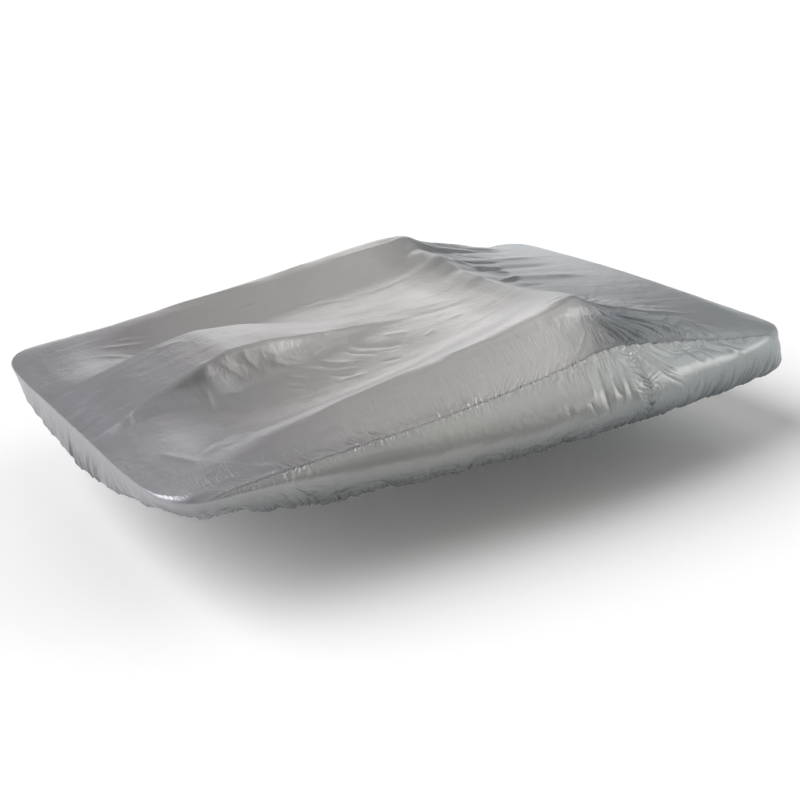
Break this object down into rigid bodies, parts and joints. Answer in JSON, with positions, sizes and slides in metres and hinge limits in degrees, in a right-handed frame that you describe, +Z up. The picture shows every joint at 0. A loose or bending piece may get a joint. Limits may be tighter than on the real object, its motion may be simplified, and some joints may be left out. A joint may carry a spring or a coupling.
{
  "type": "pedal boat cover",
  "caption": "Fitted rain cover for a small pedal boat: thin grey coated cloth stretched over the seat backs and console, with sewn side panels and a gathered elastic hem tucked under the rim.",
  "frame": {"origin": "on the middle plane, just under the cloth at the middle of the top of the seat backs, which carry the cover", "axes": "+X towards the stern, +Y to the side that is far from the camera in the picture, +Z up"},
  "size_m": [2.4893, 1.6563, 0.3708],
  "materials": {
    "top_panel_cloth": "satin, thin coated woven polyester",
    "side_panel_starboard_fore_cloth": "satin, thin coated woven polyester",
    "side_panel_starboard_aft_cloth": "satin, thin coated woven polyester",
    "side_panel_port_fore_cloth": "satin, thin coated woven polyester",
    "side_panel_port_aft_cloth": "satin, thin coated woven polyester"
  },
  "bodies": {
    "root": {"top_panel": "top_panel_cloth", "side_panel_starboard_fore": "side_panel_starboard_fore_cloth", "side_panel_starboard_aft": "side_panel_starboard_aft_cloth", "side_panel_port_fore": "side_panel_port_fore_cloth", "side_panel_port_aft": "side_panel_port_aft_cloth"}
  },
  "joints": []
}
